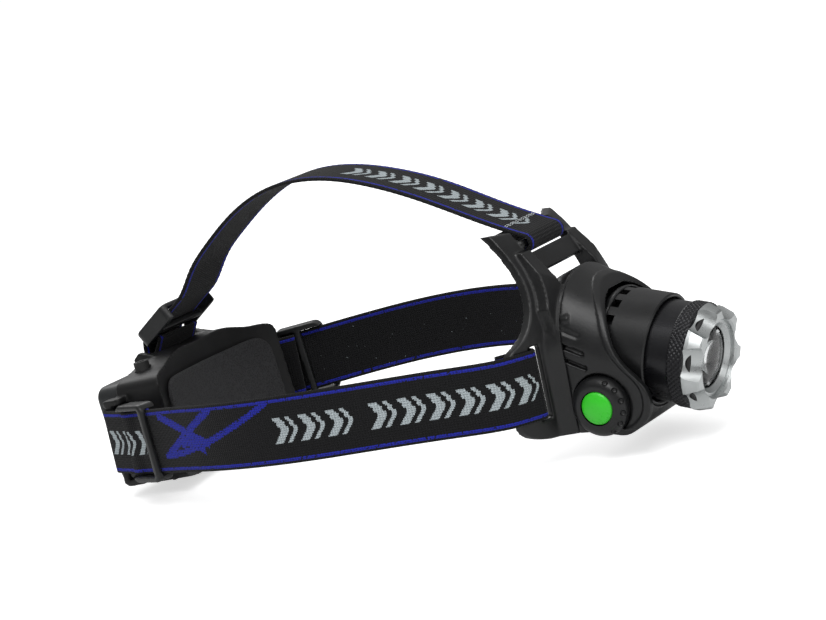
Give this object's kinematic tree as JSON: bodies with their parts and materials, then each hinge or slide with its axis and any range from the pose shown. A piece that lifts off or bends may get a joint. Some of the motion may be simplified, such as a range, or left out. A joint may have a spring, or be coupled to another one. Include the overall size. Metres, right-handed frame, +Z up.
{
  "type": "headlamp",
  "caption": "Camping headlamp with a zooming, tilting lamp on a forehead bracket, a rear battery box and elastic head straps.",
  "frame": {"origin": "centre of the head band opening, halfway up the band", "axes": "+X forward out of the forehead, +Y to the wearer's left, +Z up through the top strap"},
  "size_m": [0.2544, 0.1538, 0.1104],
  "materials": {
    "black_abs": "fine satin texture",
    "slider_plastic": "satin",
    "black_rubbery_plastic": "soft satin",
    "charcoal_abs": "satin",
    "foam": "foam",
    "screw_steel": "zinc plated",
    "bar_steel": "drawn wire",
    "green_rubber": "smooth silicone",
    "switch_plastic": "moulded",
    "black_anodised": "black anodised",
    "bare_aluminium": "turned",
    "silver_bezel": "satin anodised",
    "oring_rubber": "moulded",
    "circuit_board": "solder mask",
    "led_star": "white solder mask",
    "led_phosphor": "phosphor under silicone",
    "clear_lens": "polished",
    "cell_wrap": "shrink wrap",
    "nickel": "nickel plated",
    "webbing": "woven elastic webbing"
  },
  "bodies": {
    "headgear": {"front_bracket": "black_abs", "hood": "black_abs", "battery_cradle": "black_rubbery_plastic", "battery_tray": "charcoal_abs", "forehead_pad": "foam", "nape_pad": "foam", "hood_screws": "screw_steel", "lid_hinge_pin": "screw_steel", "top_strap_bar": "bar_steel", "protection_board": "circuit_board", "upper_battery_cell": "cell_wrap", "lower_battery_cell": "cell_wrap", "contact_springs": "nickel", "contact_plates": "nickel", "cable_grommet": "oring_rubber", "head_band_right": "webbing", "head_band_left": "webbing", "top_strap": "webbing"},
    "lamp": {"lamp_holder": "black_abs", "lamp_sleeve": "black_abs", "switch_housing": "black_abs", "pivot_cap": "black_abs", "pivot_screw": "screw_steel", "tilt_washers": "screw_steel", "switch_body": "switch_plastic", "inner_barrel": "black_anodised", "barrel_oring": "oring_rubber", "heat_sink": "bare_aluminium", "driver_board": "circuit_board", "led_board": "led_star", "led_emitter": "led_phosphor"},
    "zoom_head": {"zoom_tube": "black_anodised", "knurled_ring": "black_anodised", "bezel": "silver_bezel", "lens": "clear_lens", "lens_oring": "oring_rubber", "lens_retainer": "black_anodised"},
    "button": {"switch_button": "green_rubber"},
    "lid": {"battery_lid": "charcoal_abs"},
    "slider_right": {"band_slider_right": "slider_plastic"},
    "slider_left": {"band_slider_left": "slider_plastic"},
    "slider_top": {"top_strap_slider": "slider_plastic"}
  },
  "joints": [
    {"name": "lamp_tilt", "type": "hinge", "parent": "headgear", "child": "lamp", "pos_m": [0.109, 0, -0.0055], "axis": [0, 1, 0], "range_deg": [-15, 60]},
    {"name": "zoom_slide", "type": "slide", "parent": "lamp", "child": "zoom_head", "axis": [0.9724, 0, -0.2334], "range_m": [-0.007, 0]},
    {"name": "button_press", "type": "slide", "parent": "lamp", "child": "button", "axis": [0, 1, 0], "range_m": [0, 0.0012], "stiffness_N_per_m": 300},
    {"name": "battery_lid_hinge", "type": "hinge", "parent": "headgear", "child": "lid", "pos_m": [-0.08944, 0, -0.02309], "axis": [0, -1, 0], "range_deg": [0, 100]},
    {"name": "right_slider_travel", "type": "slide", "parent": "headgear", "child": "slider_right", "axis": [0.9258, -0.3668, 0.0909], "range_m": [0, 0.01]},
    {"name": "left_slider_travel", "type": "slide", "parent": "headgear", "child": "slider_left", "axis": [0.9258, 0.3668, 0.0909], "range_m": [0, 0.01]},
    {"name": "top_slider_travel", "type": "slide", "parent": "headgear", "child": "slider_top", "axis": [0.8192, 0, 0.5736], "range_m": [0, 0.003]}
  ]
}
